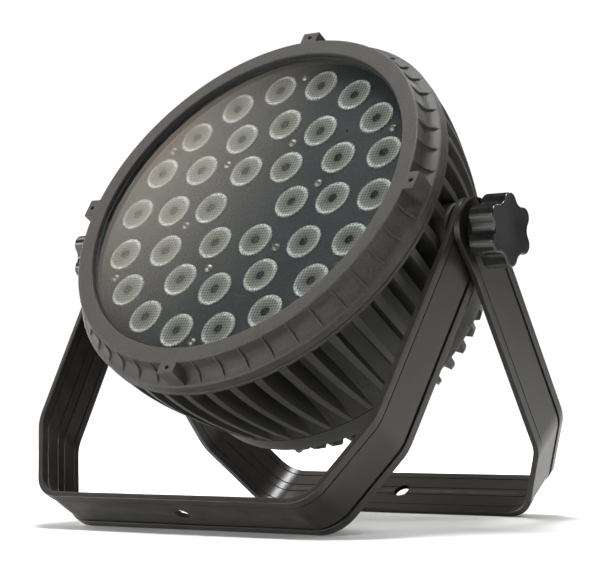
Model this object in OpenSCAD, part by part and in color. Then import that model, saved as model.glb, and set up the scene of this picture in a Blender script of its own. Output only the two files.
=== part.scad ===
// LED par can light: a die-cast finned head that tilts between two nested U-shaped floor brackets.

/* [Stance] */
// Angle between the beam axis and the floor
tilt = 33.5; // [20:0.5:45]
// Height of the tilt axis above the floor
pivot_h = 174.5; // [174:0.5:176]
// Diameter of the screw holes for hanging the light
hang_hole_d = 10.5; // [8.5:0.5:13]

/* [Head] */
// Radius of the round front rim
rim_r = 124.2; // [123:0.1:125]
// Radius of the joint between bezel and housing, the widest part of the head
flange_r = 132.3; // [131:0.1:133]
// Distance from the tilt axis forward to the bezel's front face
bezel_front = 52.7; // [52:0.1:54]
// Distance from the tilt axis forward to the joint between bezel and housing
bezel_rear = 32.2; // [32:0.1:33]
// Number of cooling fins, and of ribs round the bezel
fin_count = 48; // [36:4:60]
// Thickness of a fin where it leaves the flange
fin_front_t = 5.4; // [4:0.1:6]
// Thickness of a fin at the rear joint
fin_rear_t = 3.2; // [2:0.1:4]
// Depth of the gaps between the fins at the flange
fin_depth = 17; // [12:0.5:17]
// Distance from the tilt axis back to the joint of the rear cover
cover_joint = 53; // [50:0.5:56]
// Radius of the joint of the rear cover
cover_r = 112.5; // [112:0.1:114]
// Distance from the tilt axis back to the tips of the rear cover's ribs
cover_rear = 86.8; // [84:0.1:90]

/* [Optics] */
// Radii of the three rings of lenses
lens_rings = [32.3, 63.7, 95];
// Number of lenses in each ring
lens_counts = [6, 12, 18];
// Radius of one lens
lens_r = 12.3; // [10:0.1:12.4]
// Distance from the tilt axis forward to the face of the lens plate
plate_front = 39.75; // [39:0.05:40]

/* [Brackets] */
// Width of the bracket strip
strip_w = 37.7; // [30:0.1:38]
// Thickness of the bracket strip at its two rims
strip_t = 3.8; // [3:0.1:4]
// Angle between the inner bracket and the vertical
inner_angle = 31.66; // [25:0.01:40]
// Angle between the outer bracket and the vertical
outer_angle = 37; // [30:0.01:45]

/* [Clamps] */
// Radius over the lobes of the star knobs
knob_r = 22; // [18:0.1:24]
// Radius of the clamp studs
stud_r = 5; // [4:0.1:5]

/* [Controls] */
// Radius of one menu button
button_r = 4.5; // [3:0.1:5]
// How far a menu button stands out of the panel
button_out = 1.6; // [1.2:0.1:2]

/* [Hidden] */

cast_grey = [0.24, 0.235, 0.225];
satin_black = [0.19, 0.185, 0.18];
gloss_black = [0.06, 0.06, 0.06];
rubber_black = [0.09, 0.09, 0.09];
bright_steel = [0.75, 0.75, 0.76];
clear_acrylic = [0.85, 0.87, 0.88];

fine = 180;
medium = 72;
small = 32;
gap = 0.05;
over = 1;

strip_h = strip_w / 2;
end_r = 20.6;
inner_bar = 193.4;
inner_path = [[140.3, -20], [132.65, -138.9], [104.7, -inner_bar]];
outer_bar = (pivot_h - strip_h * sin(outer_angle)) / cos(outer_angle);
outer_path = [[145, -20], [136.95, -150.9], [107.7, -outer_bar]];
bend_r = [60, 30, 24];
strip_web = 3.1;
strip_rim = 5.4;
groove_w = 0.9;
groove_t = 0.5;
foot_w = 1.2;
foot_t = 0.8;
pivot_hole_r = stud_r + 0.08;

bar_front_y = -(inner_bar * sin(inner_angle) + strip_h * cos(inner_angle));
bar_rear_y = outer_bar * sin(outer_angle) + strip_h * cos(outer_angle);
origin_y = (bar_front_y + bar_rear_y) / 2;

flange_rear = bezel_rear - 3;
flange_front = bezel_rear - 0.5;
barrel_len = flange_rear + cover_joint;
barrel_steps = 10;
floor_front = 26;
floor_rear = 20;
front_cavity_r = 113.2;
rear_cavity_r = 104.5;
rear_mouth_r = 101.5;

cove_r = 8.5;
cove_start = 47;
bezel_wall_r = 113.5;
lip_r = 113.4;
lip_rear = 49.4;
glass_seat_r = 117.6;
glass_front = 48.8;
glass_t = 4;
ear_r = 131.3;
ear_w = 11;
ear_hole_pcr = 128;
ear_hole_r = 1.6;
rib_t = 1.5;
rib_h = 1.3;

plate_t = 1.6;
plate_r = 113;
board_r = 104;
board_front = 27.9;
board_t = 1.6;
chip_w = 5.2;
chip_t = 2;
inner_screw_r = 49.2;
inner_screw_phase = 15;
outer_screw_r = 102.7;
outer_screw_phase = 30;
plate_screw_r = 1.45;
sensor_hole = [75, 45, 1];

boss_r = 18.2;
boss_face = 133.9;
insert_in = 113;
insert_r = 8;
washer_r = 16;
clamp_washer_x = 145.05;
clamp_washer_t = 1.5;
hub_x = 146.6;
hub_r = 6;
star_x = 150.8;
star_face = 167.8;
dome_rise = 1.2;

bezel_screw_count = 8;
bezel_screw_pcr = 123.8;
cover_screw_count = 8;
cover_screw_pcr = 106;
cover_band_rear = 67;
cover_back = 70;
cover_inside = 66;
cover_wall_r = 102.5;
cover_boss_r = 64;
boss_back = 80;
boss_inside = 76;
panel = [78, 44, 2];
panel_y = 22;
window = [38, 15];
window_y = 31;
button_y = 12;
button_pitch = 16;
socket_y = -27;
socket_pitch = 26;
socket_r = 9;
psu = [118, 60, 36];
psu_y = -36;
psu_rear = -22;
psu_screw_y = 14;
control_size = [84, 48];
control_y = 24;
control_rear = -64;
psu_lug_x = psu[0] / 2 + 7;
lead_at = [0, 6];

function t_at(z) = (flange_rear - z) / barrel_len;
function barrel_r(z, front_r, rear_r) = front_r - (front_r - rear_r) * pow(t_at(z), 1.6);
function root_r(z) = barrel_r(z, flange_r, cover_r) - fin_depth * (1 - pow(t_at(z), 3));
function barrel_z(i) = flange_rear - barrel_len * i / barrel_steps;
function polar(r, a) = [r * cos(a), r * sin(a)];
function clockwise(v) = [v[1], -v[0]];
function unit(v) = v / norm(v);

// Head frame: x to the right, y up along the lens plate, z forward along the beam, zero on the tilt axis.
module head_frame() {
    translate([0, -origin_y, pivot_h]) rotate([90 - tilt, 0, 0]) children();
}

module pivot_frame() {
    translate([0, -origin_y, pivot_h]) children();
}

module ring(r_out, r_in, z_low, z_high) {
    difference() {
        translate([0, 0, z_low]) cylinder(h = z_high - z_low, r = r_out, $fn = fine);
        translate([0, 0, z_low - over]) cylinder(h = z_high - z_low + 2 * over, r = r_in, $fn = fine);
    }
}

module tube(r_out, r_in, length) {
    difference() {
        cylinder(h = length, r = r_out, $fn = medium);
        translate([0, 0, -over]) cylinder(h = length + 2 * over, r = r_in, $fn = medium);
    }
}

module around(count, r, phase = 0) {
    for (i = [0:count - 1]) rotate([0, 0, phase + i * 360 / count]) translate([r, 0, 0]) children();
}

module at_lenses() {
    for (k = [0:2]) around(lens_counts[k], lens_rings[k]) children();
}

module at_plate_screws() {
    around(6, inner_screw_r, inner_screw_phase) children();
    around(6, outer_screw_r, outer_screw_phase) children();
}

// ---- head casting ----

// The fins run out of the barrel's surface just before the rear joint, so they fade into it.
module fins() {
    edge_front = flange_r - 0.3;
    edge_rear = cover_r - 0.8;
    skin = concat(
        [[edge_front, flange_rear + over]],
        [for (i = [0:barrel_steps]) [barrel_r(barrel_z(i), edge_front, edge_rear), barrel_z(i)]]
    );
    buried = [for (i = [barrel_steps:-1:0]) [root_r(barrel_z(i)) - 2, barrel_z(i)]];
    intersection() {
        rotate_extrude($fn = fine) polygon(concat(skin, buried, [[buried[barrel_steps][0], flange_rear + over]]));
        around(fin_count, 0) rotate([90, 0, 90]) translate([0, 0, 98])
            linear_extrude(height = 40) polygon([
                [-fin_front_t / 2, flange_rear + over - 0.2], [fin_front_t / 2, flange_rear + over - 0.2],
                [fin_rear_t / 2, over - cover_joint], [-fin_rear_t / 2, over - cover_joint]
            ]);
    }
}

module barrel() {
    root = [for (i = [0:barrel_steps]) [root_r(barrel_z(i)), barrel_z(i)]];
    rotate_extrude($fn = fine) polygon(concat(
        [[flange_r, flange_front], [flange_r, flange_rear]], root,
        [[rear_mouth_r, -cover_joint], [rear_mouth_r, -46], [rear_cavity_r, -40], [rear_cavity_r, floor_rear],
         [0, floor_rear], [0, floor_front], [front_cavity_r, floor_front], [front_cavity_r, flange_front]]
    ));
}

module pivot_boss(side) {
    rotate([0, side * 90, 0]) translate([0, 0, rear_cavity_r + 0.5])
        cylinder(h = boss_face - rear_cavity_r - 0.5, r = boss_r, $fn = medium);
}

module housing() {
    color(cast_grey) head_frame() difference() {
        union() {
            barrel();
            fins();
            for (side = [-1, 1]) pivot_boss(side);
        }
        for (side = [-1, 1]) rotate([0, side * 90, 0]) translate([0, 0, insert_in])
            cylinder(h = 40, r = insert_r, $fn = medium);
        around(bezel_screw_count, bezel_screw_pcr, 3.75) translate([0, 0, flange_rear - over])
            cylinder(h = 6, r = 2.2, $fn = small);
        around(cover_screw_count, cover_screw_pcr, 3.75) translate([0, 0, -cover_joint - over])
            cylinder(h = 7, r = 1.7, $fn = small);
        translate([lead_at[0], lead_at[1], floor_rear - over]) cylinder(h = 8, r = 6, $fn = small);
        at_psu_screws() translate([0, 0, floor_rear - over]) cylinder(h = 5, r = 1.95, $fn = small);
    }
}

// ---- bezel and glass ----

module bezel_ring() {
    cove = [for (a = [0:10:80]) [rim_r + cove_r - cove_r * cos(a), cove_start - cove_r * sin(a)]];
    rotate_extrude($fn = fine) polygon(concat(
        [[lip_r + 0.8, bezel_front], [rim_r - 0.7, bezel_front], [rim_r, bezel_front - 0.7]], cove,
        [[flange_r, bezel_rear + 5.6], [flange_r, bezel_rear], [bezel_wall_r, bezel_rear],
         [bezel_wall_r, 40.4], [glass_seat_r, 40.4], [glass_seat_r, lip_rear], [lip_r, lip_rear],
         [lip_r, bezel_front - 1]]
    ));
}

module bezel_rib() {
    r = cove_r - rib_h;
    crest = [for (a = [0:10:70]) [rim_r + cove_r - r * cos(a), cove_start - r * sin(a)]];
    rotate([90, 0, 0]) translate([0, 0, -rib_t / 2]) linear_extrude(height = rib_t) polygon(concat(
        [[rim_r - 2, bezel_front - 0.5], [rim_r + 0.2, bezel_front - 0.5]], crest,
        [[flange_r - 1, 36], [rim_r - 2, 36]]
    ));
}

module front_bezel() {
    color(cast_grey) head_frame() difference() {
        union() {
            bezel_ring();
            around(fin_count, 0) bezel_rib();
            around(4, 0) translate([rim_r - 4, -ear_w / 2, 36])
                cube([ear_r - rim_r + 4, ear_w, bezel_front - 36]);
        }
        around(4, ear_hole_pcr) translate([0, 0, 42.7]) cylinder(h = 12, r = ear_hole_r, $fn = small);
        around(bezel_screw_count, bezel_screw_pcr, 3.75) translate([0, 0, bezel_rear - over])
            cylinder(h = 9, r = 1.7, $fn = small);
    }
}

module bezel_gasket() {
    color(rubber_black) head_frame() difference() {
        ring(130, 116.5, flange_front, bezel_rear);
        around(bezel_screw_count, bezel_screw_pcr, 3.75) translate([0, 0, flange_front - over])
            cylinder(h = 3, r = 2.4, $fn = small);
    }
}

module bezel_screws() {
    color(bright_steel) head_frame() around(bezel_screw_count, bezel_screw_pcr, 3.75) {
        translate([0, 0, flange_rear - 3.6]) cylinder(h = 3.6 - gap, r = 3.4, $fn = small);
        translate([0, 0, flange_rear - 0.5]) cylinder(h = 9.5, r = 1.6, $fn = small);
    }
}

module glass_gasket() {
    color(rubber_black) head_frame() rotate_extrude($fn = fine) polygon([
        [112.1, glass_front], [112.1, lip_rear], [glass_seat_r - gap, lip_rear],
        [glass_seat_r - gap, glass_front - glass_t], [117.1, glass_front - glass_t], [117.1, glass_front]
    ]);
}

module front_glass() {
    color(clear_acrylic) head_frame() translate([0, 0, glass_front - glass_t])
        cylinder(h = glass_t, r = 117, $fn = fine);
}

module glass_retaining_ring() {
    color(cast_grey) head_frame() ring(glass_seat_r - gap, bezel_wall_r, 40.45, glass_front - glass_t);
}

// ---- optics ----

module lens_plate() {
    color([0.16, 0.165, 0.17]) head_frame() translate([0, 0, plate_front - plate_t]) difference() {
        cylinder(h = plate_t, r = plate_r, $fn = fine);
        translate([0, 0, -over]) at_lenses() cylinder(h = 4, r = lens_r + 0.15, $fn = medium);
        translate([0, 0, -over]) at_plate_screws() cylinder(h = 4, r = plate_screw_r + 0.2, $fn = small);
        rotate([0, 0, sensor_hole[1]]) translate([sensor_hole[0], 0, -over])
            cylinder(h = 4, r = sensor_hole[2], $fn = small);
    }
}

module lens() {
    rotate_extrude($fn = medium) polygon([
        [0, 33], [2.6, 32.4], [4.2, 30.4], [5.2, 30.4], [lens_r - 0.6, 38.2], [lens_r, 38.4],
        [lens_r, 40.1], [lens_r - 0.5, 40.5], [0, 40.5]
    ]);
}

module lens_ring(k) {
    color(clear_acrylic) head_frame() around(lens_counts[k], lens_rings[k]) lens();
}

module inner_lenses() { lens_ring(0); }

module middle_lenses() { lens_ring(1); }

module outer_lenses() { lens_ring(2); }

module lens_holders() {
    color(rubber_black) head_frame() at_lenses() rotate_extrude($fn = medium) polygon([
        [4.6, board_front], [6.8, board_front], [11.4, 34.8], [12.3, 36.6], [12.3, 38], [11.6, 38],
        [5.4, 29.9], [4.6, 29.9]
    ]);
}

module led_chips() {
    color([0.9, 0.85, 0.6]) head_frame() at_lenses() translate([-chip_w / 2, -chip_w / 2, board_front])
        cube([chip_w, chip_w, chip_t]);
}

module led_board() {
    color([0.85, 0.86, 0.86]) head_frame() difference() {
        translate([0, 0, board_front - board_t]) cylinder(h = board_t, r = board_r, $fn = fine);
        translate([0, 0, board_front - 3]) at_plate_screws() cylinder(h = 4, r = 1.7, $fn = small);
        translate([lead_at[0], lead_at[1], board_front - 3]) cylinder(h = 4, r = 3, $fn = small);
    }
}

module thermal_pad() {
    color([0.6, 0.62, 0.65]) head_frame() ring(board_r, 11, floor_front, board_front - board_t);
}

module plate_standoffs() {
    color(bright_steel) head_frame() translate([0, 0, board_front]) at_plate_screws()
        tube(2.9, plate_screw_r + 0.06, plate_front - plate_t - board_front);
}

module plate_screws() {
    color(bright_steel) head_frame() at_plate_screws() difference() {
        union() {
            translate([0, 0, 33]) cylinder(h = plate_front - 33, r = plate_screw_r, $fn = small);
            intersection() {
                translate([0, 0, plate_front + gap]) cylinder(h = 1.7, r = 2.8, $fn = small);
                translate([0, 0, plate_front + 1.7 - 3.4]) sphere(r = 3.4, $fn = small);
            }
            translate([0, 0, plate_front - over]) cylinder(h = over + 0.5, r = plate_screw_r, $fn = small);
        }
        translate([0, 0, plate_front + 0.9]) cylinder(h = 2, r = 1, $fn = 6);
    }
}

// ---- electronics ----

module lead_grommet() {
    color(rubber_black) head_frame() translate([lead_at[0], lead_at[1], floor_rear]) tube(6 - gap, 2.6, 6);
}

// A pair of leads from the side of the power supply, through the grommet to the back of the LED board.
module led_leads() {
    psu_side = psu_y + psu[1] / 2;
    color([0.7, 0.12, 0.1]) head_frame() for (side = [-1, 1])
        translate([lead_at[0] + side * 1.25, lead_at[1], 0]) {
            cylinder(h = board_front + 1, r = 1.2, $fn = small);
            rotate([90, 0, 0]) cylinder(h = lead_at[1] - psu_side - gap, r = 1.2, $fn = small);
            sphere(r = 1.2, $fn = small);
        }
}

module at_psu_screws() {
    for (side = [-1, 1]) for (y = [-psu_screw_y, psu_screw_y]) translate([side * psu_lug_x, psu_y + y, 0])
        children();
}

module power_supply() {
    color([0.72, 0.73, 0.74]) head_frame() difference() {
        translate([0, psu_y, psu_rear]) {
            translate([-psu[0] / 2, -psu[1] / 2, 0]) cube(psu);
            translate([-psu_lug_x - 6, -20, psu[2] - 1.6]) cube([2 * psu_lug_x + 12, 40, 1.6]);
        }
        at_psu_screws() translate([0, 0, psu_rear + psu[2] - 4]) cylinder(h = 6, r = 2.2, $fn = small);
    }
}

module power_supply_screws() {
    lug_rear = psu_rear + psu[2] - 1.6;
    color(bright_steel) head_frame() at_psu_screws() {
        translate([0, 0, lug_rear - 2.4]) cylinder(h = 2.4 - gap, r = 3.4, $fn = small);
        translate([0, 0, lug_rear - 1]) cylinder(h = floor_rear + 3 - lug_rear, r = 1.85, $fn = small);
    }
}

module control_board() {
    color([0.1, 0.35, 0.2]) head_frame() translate([0, control_y, control_rear]) {
        translate([-control_size[0] / 2, -control_size[1] / 2, 0]) cube([control_size[0], control_size[1], 1.6]);
        translate([-36, -16, 1]) cube([20, 14, 8]);
        translate([-6, -18, 1]) cube([14, 14, 2.6]);
        for (x = [20, 31]) translate([x, -10, 1]) cylinder(h = 12, r = 4.5, $fn = small);
    }
}

module control_board_posts() {
    color(bright_steel) head_frame() for (x = [-36, 36]) for (y = [-19, 19])
        translate([x, control_y + y, -boss_inside]) cylinder(h = control_rear + boss_inside, r = 2.8, $fn = small);
}

module display_module() {
    color([0.1, 0.12, 0.16]) head_frame() translate([-window[0] / 2, window_y - window[1] / 2, -boss_inside])
        cube([window[0], window[1], control_rear + boss_inside]);
}

// ---- rear cover ----

module cover_ribs() {
    around(fin_count, 0) rotate([90, 0, 0]) translate([0, 0, -fin_rear_t / 2])
        linear_extrude(height = fin_rear_t) polygon([
            [68, -cover_back + over], [68, 2 - cover_rear], [72, -cover_rear], [97.6, -cover_rear],
            [102.4, -80.5], [106, -cover_back + over]
        ]);
}

module cover_shell() {
    rotate_extrude($fn = fine) polygon([
        [0, -boss_inside], [cover_boss_r - 3, -boss_inside], [cover_boss_r - 3, -cover_inside],
        [cover_wall_r - 2, -cover_inside], [cover_wall_r, 2 - cover_inside], [cover_wall_r, -cover_joint - 0.5],
        [cover_r, -cover_joint - 0.5], [110.6, -cover_band_rear], [108.6, -cover_back + 0.6],
        [106.8, -cover_back], [cover_boss_r, -cover_back], [cover_boss_r - 2, -boss_back], [0, -boss_back]
    ]);
}

module at_sockets() {
    for (i = [0:3]) translate([(i - 1.5) * socket_pitch, socket_y, 0]) children();
}

module rear_cover() {
    color(cast_grey) head_frame() difference() {
        union() {
            cover_shell();
            cover_ribs();
        }
        around(cover_screw_count, cover_screw_pcr, 3.75) translate([0, 0, -cover_back - 8])
            cylinder(h = 30, r = 2.2, $fn = small);
        translate([-window[0] / 2 - gap, window_y - window[1] / 2 - gap, -boss_back - over])
            cube([window[0] + 2 * gap, window[1] + 2 * gap, 20]);
        at_sockets() translate([0, 0, -boss_back - over]) cylinder(h = 20, r = 7.2, $fn = medium);
        for (i = [0:3]) at_button(i) translate([0, 0, -boss_back - over])
            cylinder(h = 4, r = button_r + 0.4, $fn = small);
        translate([0, -52, -boss_back - over]) cylinder(h = 20, r = 4.1, $fn = small);
    }
}

module rear_gasket() {
    color(rubber_black) head_frame() ring(111.4, 109.6, -cover_joint - 0.5, -cover_joint);
}

module rear_cover_screws() {
    color(bright_steel) head_frame() around(cover_screw_count, cover_screw_pcr, 3.75) {
        translate([0, 0, -cover_back - 3]) cylinder(h = 3 - gap, r = 3.2, $fn = small);
        translate([0, 0, -cover_back - 0.5]) cylinder(h = 20, r = 1.6, $fn = small);
    }
}

module at_button(i) {
    translate([(i - 1.5) * button_pitch, button_y, 0]) children();
}

module control_panel() {
    color([0.08, 0.08, 0.085]) head_frame() difference() {
        translate([-panel[0] / 2, panel_y - panel[1] / 2, -boss_back - panel[2]]) cube(panel);
        translate([-window[0] / 2, window_y - window[1] / 2, -boss_back - panel[2] - over])
            cube([window[0], window[1], panel[2] + 2 * over]);
        for (i = [0:3]) at_button(i) translate([0, 0, -boss_back - panel[2] - over])
            cylinder(h = panel[2] + 2 * over, r = button_r + 0.3, $fn = small);
    }
}

module display_window() {
    color([0.05, 0.07, 0.1]) head_frame()
        translate([-window[0] / 2 + gap, window_y - window[1] / 2 + gap, -boss_back - panel[2] + 0.3])
            cube([window[0] - 2 * gap, window[1] - 2 * gap, 1.5]);
}

module button(i) {
    color(rubber_black) head_frame() at_button(i) translate([0, 0, -boss_back - panel[2] - button_out]) {
        cylinder(h = panel[2] + button_out + 1.8, r = button_r, $fn = small);
    }
}

module menu_button() { button(0); }

module down_button() { button(1); }

module up_button() { button(2); }

module enter_button() { button(3); }

// Panel sockets: a flanged shell, a threaded nose and a contact block.
module socket(i, contacts) {
    color(gloss_black) head_frame() translate([(i - 1.5) * socket_pitch, socket_y, 0]) {
        translate([0, 0, -boss_back - 2.5]) cylinder(h = 2.5 - gap, r = 11, $fn = medium);
        difference() {
            translate([0, 0, -boss_back - 13]) cylinder(h = 12, r = socket_r, $fn = medium);
            translate([0, 0, -boss_back - 14]) cylinder(h = 11, r = socket_r - 1.8, $fn = medium);
        }
        translate([0, 0, -boss_back - 1]) cylinder(h = 14, r = 7, $fn = medium);
        around(contacts, 3.2, 90) translate([0, 0, -boss_back - 9]) cylinder(h = 8, r = 0.9, $fn = small);
    }
}

module power_inlet() { socket(0, 3); }

module power_outlet() { socket(1, 3); }

module data_inlet() { socket(2, 3); }

module data_outlet() { socket(3, 3); }

module socket_nuts() {
    color(bright_steel) head_frame() at_sockets() translate([0, 0, -boss_inside + gap]) difference() {
        cylinder(h = 3, r = 10.5, $fn = 6);
        translate([0, 0, -over]) cylinder(h = 6, r = 7.1, $fn = medium);
    }
}

module vent_plug() {
    color(rubber_black) head_frame() translate([0, -52, 0]) {
        translate([0, 0, -boss_back - 4]) cylinder(h = 4 - gap, r = 7, $fn = small);
        translate([0, 0, -boss_back - 1]) cylinder(h = 9, r = 4, $fn = small);
    }
}

// Steel eye for the safety wire, a half ring on two feet at the top of the rear boss.
module safety_eye() {
    color(bright_steel) head_frame() translate([0, 54, -boss_back]) {
        translate([0, 0, -7]) rotate([90, 180, 0]) rotate_extrude(angle = 180, $fn = medium)
            translate([8, 0]) circle(r = 2, $fn = small);
        for (side = [-1, 1]) translate([side * 8, 0, -7]) cylinder(h = 7 - gap, r = 2, $fn = small);
    }
}

// ---- pivots and clamps ----

module on_side(side) {
    pivot_frame() rotate([0, side * 90, 0]) children();
}

module pivot_insert(side) {
    color(bright_steel) on_side(side) translate([0, 0, insert_in]) tube(insert_r - gap, stud_r + 0.06, 20.5);
}

module right_pivot_insert() { pivot_insert(1); }

module left_pivot_insert() { pivot_insert(-1); }

module flat_washer(side, x, r, t) {
    on_side(side) translate([0, 0, x]) tube(r, pivot_hole_r, t);
}

module friction_washer(side) {
    color(rubber_black) flat_washer(side, boss_face + gap, washer_r, 2.5);
}

module right_friction_washer() { friction_washer(1); }

module left_friction_washer() { friction_washer(-1); }

module spacer_washer(side) {
    color(rubber_black) flat_washer(side, inner_path[0][0] - strip_t + strip_web + gap, washer_r - 4, 1.4);
}

module right_spacer_washer() { spacer_washer(1); }

module left_spacer_washer() { spacer_washer(-1); }

module clamp_washer(side) {
    color(rubber_black) flat_washer(side, clamp_washer_x - strip_t + strip_web, 12, 2.2);
}

module right_clamp_washer() { clamp_washer(1); }

module left_clamp_washer() { clamp_washer(-1); }

module star() {
    intersection() {
        difference() {
            union() {
                cylinder(h = 20, r = 17.2, $fn = medium);
                around(6, knob_r - 6.2, 90) cylinder(h = 20, r = 6.2, $fn = medium);
            }
            around(6, knob_r + 5.4, 60) translate([0, 0, -over]) cylinder(h = 22, r = 9, $fn = medium);
        }
        translate([0, 0, star_face + dome_rise - star_x - 200]) sphere(r = 200, $fn = 360);
    }
}

module knob(side) {
    color(gloss_black) on_side(side) translate([0, 0, star_x]) difference() {
        star();
        translate([0, 0, -over]) cylinder(h = 8, r = hub_r + gap, $fn = medium);
    }
}

module right_knob() { knob(1); }

module left_knob() { knob(-1); }

module knob_hub(side) {
    color(bright_steel) on_side(side) translate([0, 0, hub_x]) tube(hub_r, stud_r + gap, star_x + 6.9 - hub_x);
}

module right_knob_hub() { knob_hub(1); }

module left_knob_hub() { knob_hub(-1); }

module knob_stud(side) {
    color(bright_steel) on_side(side) translate([0, 0, insert_in + 3])
        cylinder(h = star_x + 6.8 - insert_in - 3, r = stud_r, $fn = medium);
}

module right_knob_stud() { knob_stud(1); }

module left_knob_stud() { knob_stud(-1); }

// ---- U brackets ----

function heading(p, i) = unit(p[i + 1] - p[i]);
function turn(p, i) = acos(heading(p, i - 1) * heading(p, i));

// Points along the strip at a depth under its outer surface, with each corner rounded to its bend radius.
function bend_points(p, i, r, depth) =
    let(
        angle = turn(p, i),
        inward = clockwise(heading(p, i - 1)),
        centre = p[i] - heading(p, i - 1) * r * tan(angle / 2) + inward * r,
        start = atan2(-inward[1], -inward[0]),
        steps = ceil(angle / 4)
    )
    [for (k = [0:steps]) centre + polar(r - depth, start - angle * k / steps)];

function strip_line(half, depth) =
    let(
        top = half[0] + [0, end_r - half[0][1]],
        p = concat([top], half, [[-half[2][0], half[2][1]]]),
        side = concat(
            [top - [depth, 0]],
            [for (i = [1:3]) each bend_points(p, i, bend_r[i - 1], depth)]
        )
    )
    concat(side, [for (i = [len(side) - 1:-1:0]) [-side[i][0], side[i][1]]]);

module strip_band(half, depths, low, high) {
    outer = strip_line(half, depths[0]);
    inner = strip_line(half, depths[1]);
    translate([0, high, 0]) rotate([90, 0, 0]) linear_extrude(height = high - low)
        polygon(concat(outer, [for (i = [len(inner) - 1:-1:0]) inner[i]]));
}

// U bracket in its own frame: zero on the tilt axis, legs down along -z, the strip's width along y.
module u_bracket(half) {
    rim = strip_h - strip_rim;
    centre_groove = 3.4;
    difference() {
        intersection() {
            strip_band(half, [0, strip_t], -strip_h, strip_h);
            union() {
                translate([-200, -strip_h, -300]) cube([400, strip_w, 300]);
                rotate([0, 90, 0]) translate([0, 0, -200]) cylinder(h = 400, r = end_r, $fn = fine);
            }
        }
        strip_band(half, [-over, strip_t - strip_web], -rim, rim);
        for (side = [-1, 1])
            strip_band(half, [-over, strip_t - strip_web + foot_t], side * (rim - foot_w / 2) - foot_w / 2,
                side * (rim - foot_w / 2) + foot_w / 2);
        for (side = [-1, 1]) for (y = [rim, centre_groove])
            strip_band(half, [strip_t - groove_t, strip_t + over], side * y - groove_w / 2, side * y + groove_w / 2);
        rotate([0, 90, 0]) translate([0, 0, -160]) cylinder(h = 320, r = pivot_hole_r, $fn = medium);
        translate([0, 0, half[2][1] - over]) cylinder(h = 8, r = hang_hole_d / 2, $fn = medium);
    }
}

module inner_bracket() {
    color(satin_black) pivot_frame() rotate([-inner_angle, 0, 0]) u_bracket(inner_path);
}

module outer_bracket() {
    color(satin_black) pivot_frame() rotate([outer_angle, 0, 0]) u_bracket(outer_path);
}

housing();
front_bezel();
bezel_gasket();
bezel_screws();
glass_gasket();
front_glass();
glass_retaining_ring();
lens_plate();
inner_lenses();
middle_lenses();
outer_lenses();
lens_holders();
led_chips();
led_board();
thermal_pad();
plate_standoffs();
plate_screws();
lead_grommet();
led_leads();
power_supply();
power_supply_screws();
control_board();
control_board_posts();
display_module();
rear_gasket();
rear_cover();
rear_cover_screws();
control_panel();
display_window();
menu_button();
down_button();
up_button();
enter_button();
power_inlet();
power_outlet();
data_inlet();
data_outlet();
socket_nuts();
vent_plug();
safety_eye();
right_pivot_insert();
left_pivot_insert();
right_friction_washer();
left_friction_washer();
inner_bracket();
right_spacer_washer();
left_spacer_washer();
outer_bracket();
right_clamp_washer();
left_clamp_washer();
right_knob();
left_knob();
right_knob_hub();
left_knob_hub();
right_knob_stud();
left_knob_stud();
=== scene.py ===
import math

import bmesh
import bpy
from mathutils import Matrix, Vector


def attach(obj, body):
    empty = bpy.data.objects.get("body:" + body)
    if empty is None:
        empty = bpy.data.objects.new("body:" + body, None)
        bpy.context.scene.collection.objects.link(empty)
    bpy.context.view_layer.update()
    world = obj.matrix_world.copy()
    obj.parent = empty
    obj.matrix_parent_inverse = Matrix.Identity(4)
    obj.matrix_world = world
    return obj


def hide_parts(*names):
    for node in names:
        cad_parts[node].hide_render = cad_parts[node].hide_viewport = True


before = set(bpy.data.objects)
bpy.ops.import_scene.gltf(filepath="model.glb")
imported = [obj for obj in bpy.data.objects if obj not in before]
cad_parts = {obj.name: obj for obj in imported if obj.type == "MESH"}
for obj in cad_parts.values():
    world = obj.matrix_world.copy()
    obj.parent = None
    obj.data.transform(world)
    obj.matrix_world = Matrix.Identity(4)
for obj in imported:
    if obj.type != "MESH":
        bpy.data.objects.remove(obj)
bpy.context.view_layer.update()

# ---- sizes, in millimetres and degrees unless the name says otherwise ----

MM = 0.001
PIVOT = Vector((0.0, -10.2225, 174.5))
TILT = 33.5
INNER_ANGLE = 31.66
OUTER_ANGLE = 37.0

# The head, with its heights measured forward along its own axis from the tilt axis.
RIM_R = 124.2
LIP_R = 113.4
FLANGE_R = 132.3
FLANGE_REAR = 29.2
BEZEL_FRONT = 52.7
BEZEL_REAR = 32.2
COVE_R = 8.5
COVE_START = 47.0
RIB_H = 1.3
RIB_AT_R = 129.0
EAR_IN = 120.0
EAR_OUT = 131.3
EAR_W = 12.4
EAR_LOW = 37.0
EAR_BEVEL = 0.3
EAR_HOLE_AT = 127.4
EAR_HOLE_R = 1.4

FIN_COUNT = 48
FIN_ROWS = 26
FIN_DEPTH = 17.0
FIN_FRONT_T = 5.4
FIN_REAR_T = 3.2
FIN_START = 28.0
FIN_FOOT = 1.3
FIN_NOSE = 0.55
FIN_DRAFT = 0.12
COVER_JOINT = 53.0
COVER_R = 112.5
COVER_SEAT_R = 101.5
BARREL_LEN = FLANGE_REAR + COVER_JOINT
BARREL_BORE_R = 104.5
BEZEL_SEAT_R = 113.2
BEZEL_SEAT = 31.7
CHAMBER_FLOOR = 26.0
CHAMBER_FLOOR_BACK = 20.0
LEAD_HOLE_R = 8.0
BOSS_R = 18.2
BOSS_END = 133.9

LENS_RINGS = {"inner_lenses": (32.3, 6), "middle_lenses": (63.7, 12), "outer_lenses": (95.0, 18)}
LENS_R = 12.3
LENS_FACE = 39.95
LENS_SPOKES = 40
# The painted glints on each lens lie on two opposite sides of it, turned this far.
PAINTED_GLINT_TURN = 20.0

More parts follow.
